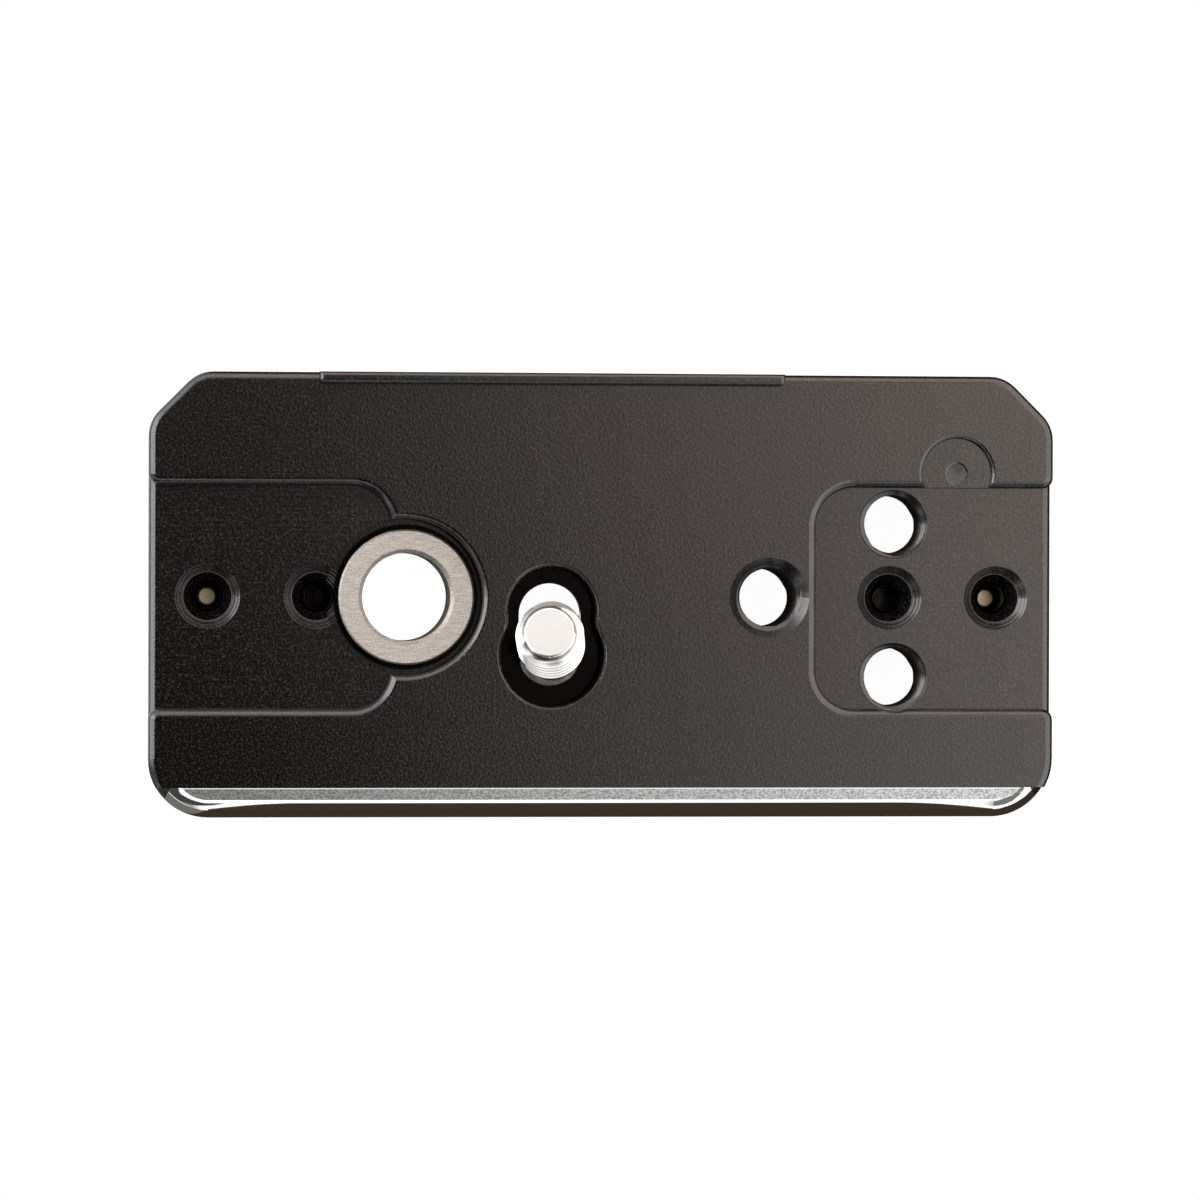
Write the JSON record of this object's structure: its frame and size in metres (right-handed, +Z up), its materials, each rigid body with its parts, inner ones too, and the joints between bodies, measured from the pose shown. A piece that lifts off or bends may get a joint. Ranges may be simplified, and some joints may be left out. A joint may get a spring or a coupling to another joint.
{
  "type": "camera bracket plate",
  "caption": "Rectangular aluminium camera plate with a captive camera screw in a keyhole slot, a steel bush, tapped holes, end pockets, a rear lip and a bright front bevel.",
  "frame": {"origin": "centre of the plate's underside", "axes": "+X along the plate towards the tapped pair, +Y to the rear edge with the lip, +Z up to the camera"},
  "size_m": [0.0852, 0.0418, 0.0155],
  "materials": {
    "black_anodised": "bead-blasted black anodised, with a bare polished bevel along the front edge",
    "stainless_matte": "matte ground stainless steel with fine scratches",
    "stainless_bright": "bright turned stainless steel",
    "brass": "turned brass"
  },
  "bodies": {
    "plate": {"plate_body": "black_anodised", "steel_bush": "stainless_matte", "brass_set_screws": "brass"},
    "screw": {"camera_screw": "stainless_bright"}
  },
  "joints": [
    {"name": "screw_slide", "type": "slide", "parent": "plate", "child": "screw", "axis": [0, 1, 0], "range_m": [0, 0.0034]}
  ]
}
